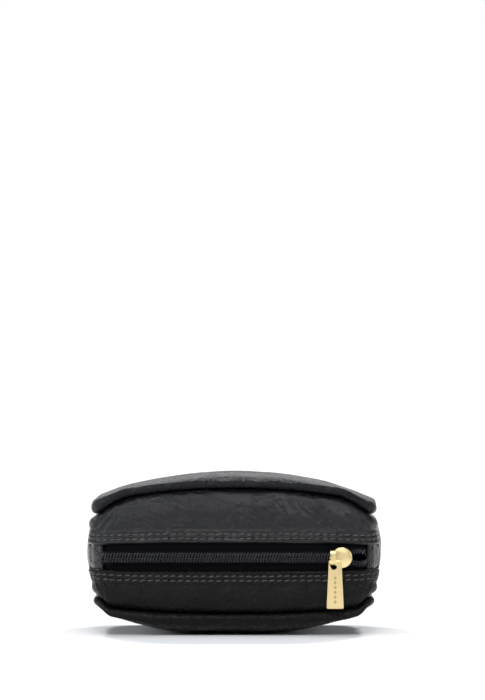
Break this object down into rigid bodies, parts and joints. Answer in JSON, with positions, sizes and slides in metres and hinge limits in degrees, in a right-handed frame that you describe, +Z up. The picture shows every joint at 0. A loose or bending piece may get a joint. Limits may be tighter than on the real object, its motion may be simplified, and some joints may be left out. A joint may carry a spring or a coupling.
{
  "type": "coin purse",
  "caption": "Soft black leather coin purse with rounded corners, a zip between two stitched strips, and a gold slider with a flat hanging pull tab.",
  "frame": {"origin": "bottom centre of the whole purse's bounding box, where its belly rests", "axes": "+X along the zip towards the parked slider, +Y from the zip face to the base, +Z up through the front panel as the purse lies on its back panel"},
  "size_m": [0.1352, 0.09, 0.076],
  "materials": {
    "leather": "semi-gloss soft grain",
    "lining": "matte woven",
    "zip_tape": "matte woven",
    "zip_coil": "satin nylon",
    "thread": "waxed thread",
    "gold_metal": "polished pale gold plating",
    "spring_metal": "satin"
  },
  "bodies": {
    "purse": {"front_panel": "leather", "back_panel": "leather", "side_gusset": "leather", "zip_strip_back": "leather", "end_tab_left": "leather", "end_tab_right": "leather", "zip_tape_back": "zip_tape", "zip_coil_back": "zip_coil", "lining_front_panel": "lining", "lining_back_panel": "lining", "lining_gusset": "lining", "lining_strip_back": "lining", "stitches_strip_back": "thread", "stitches_tab_left": "thread", "stitches_tab_right": "thread"},
    "front_flap": {"zip_strip_front": "leather", "zip_tape_front": "zip_tape", "zip_coil_front": "zip_coil", "lining_strip_front": "lining", "stitches_strip_front": "thread"},
    "slider": {"slider_body": "gold_metal", "slider_cap": "gold_metal"},
    "lock": {"lock_spring": "spring_metal"},
    "pull": {"pull_tab": "gold_metal"}
  },
  "joints": [
    {"name": "zip_slide", "type": "slide", "parent": "purse", "child": "slider", "axis": [1, 0, 0], "range_m": [-0.1, 0], "deforming": ["zip_coil_front", "zip_coil_back", "zip_tape_front", "zip_tape_back"]},
    {"name": "mouth_open", "type": "hinge", "parent": "purse", "child": "front_flap", "pos_m": [0, -0.03675, 0.066], "axis": [-1, 0, 0], "range_deg": [0, 70]},
    {"name": "pull_swing", "type": "hinge", "parent": "slider", "child": "pull", "pos_m": [0.0465, -0.0435, 0.0346], "axis": [-1, 0, 0], "range_deg": [0, 120]},
    {"name": "lock_lift", "type": "slide", "parent": "slider", "child": "lock", "axis": [0, -1, 0], "range_m": [0, 0.0006]}
  ],
  "couplings": [
    {"joint": "mouth_open", "follows": "zip_slide", "rad_per_m": -12.2},
    {"joint": "lock_lift", "follows": "pull_swing", "m_per_rad": 0.0002}
  ]
}
